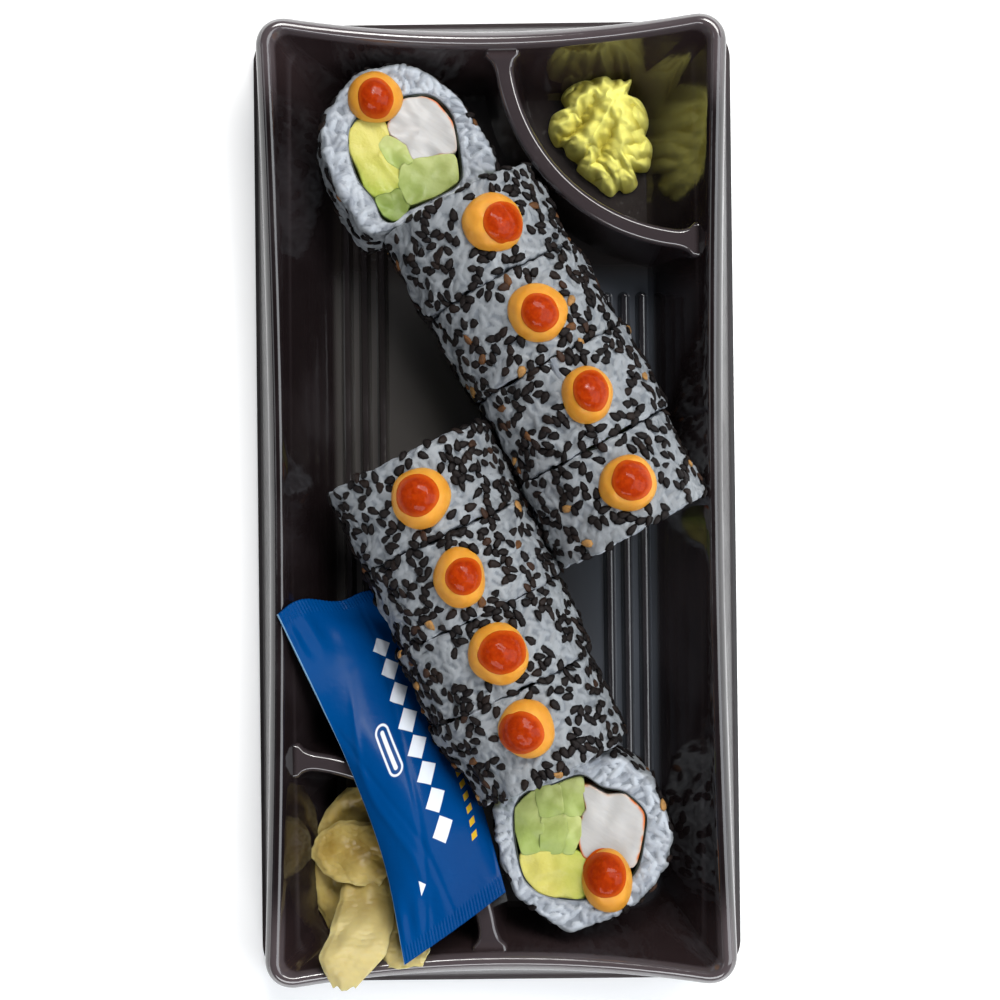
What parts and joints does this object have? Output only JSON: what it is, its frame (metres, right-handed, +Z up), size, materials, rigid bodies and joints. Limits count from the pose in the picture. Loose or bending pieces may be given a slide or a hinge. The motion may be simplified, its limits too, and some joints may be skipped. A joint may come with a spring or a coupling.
{
  "type": "takeaway sushi tray",
  "caption": "Dark plastic takeaway tray with two corner compartments, filled with sushi roll pieces, piped wasabi, pickled ginger and a sauce sachet.",
  "frame": {"origin": "under the middle of the tray, on the surface it stands on", "axes": "+Y along the tray's long side, +X across it, +Z up"},
  "size_m": [0.1142, 0.2286, 0.0446],
  "materials": {
    "tray": "glossy dark thermoformed plastic",
    "rice": "moist pressed rice with black sesame seeds",
    "nori": "damp dark seaweed",
    "crab_stick": "moist white with an orange edge",
    "avocado": "soft yellow to green flesh",
    "cucumber": "wet crisp flesh with a dark green skin",
    "mayo": "smooth satin sauce",
    "chili": "wet glossy sauce",
    "wasabi": "soft piped paste",
    "ginger": "wet translucent slices",
    "sachet": "printed laminate film"
  },
  "bodies": {
    "root": {"tray": "tray", "roll_01": "rice", "mayo_01": "mayo", "chili_01": "chili", "roll_02": "rice", "mayo_02": "mayo", "chili_02": "chili", "roll_03": "rice", "mayo_03": "mayo", "chili_03": "chili", "roll_04": "rice", "mayo_04": "mayo", "chili_04": "chili", "roll_05": "rice", "mayo_05": "mayo", "chili_05": "chili", "roll_06": "rice", "mayo_06": "mayo", "chili_06": "chili", "roll_07": "rice", "mayo_07": "mayo", "chili_07": "chili", "roll_08": "rice", "mayo_08": "mayo", "chili_08": "chili", "roll_09": "rice", "mayo_09": "mayo", "chili_09": "chili", "roll_10": "rice", "mayo_10": "mayo", "chili_10": "chili", "nori_01": "nori", "crab_stick_01": "crab_stick", "avocado_01": "avocado", "cucumber_01_1": "cucumber", "cucumber_01_2": "cucumber", "cucumber_01_3": "cucumber", "nori_10": "nori", "crab_stick_10": "crab_stick", "avocado_10": "avocado", "cucumber_10_1": "cucumber", "cucumber_10_2": "cucumber", "cucumber_10_3": "cucumber", "cucumber_10_4": "cucumber", "cucumber_10_5": "cucumber", "wasabi": "wasabi", "sauce_sachet": "sachet", "ginger_1": "ginger", "ginger_2": "ginger", "ginger_3": "ginger", "ginger_4": "ginger"}
  },
  "joints": []
}
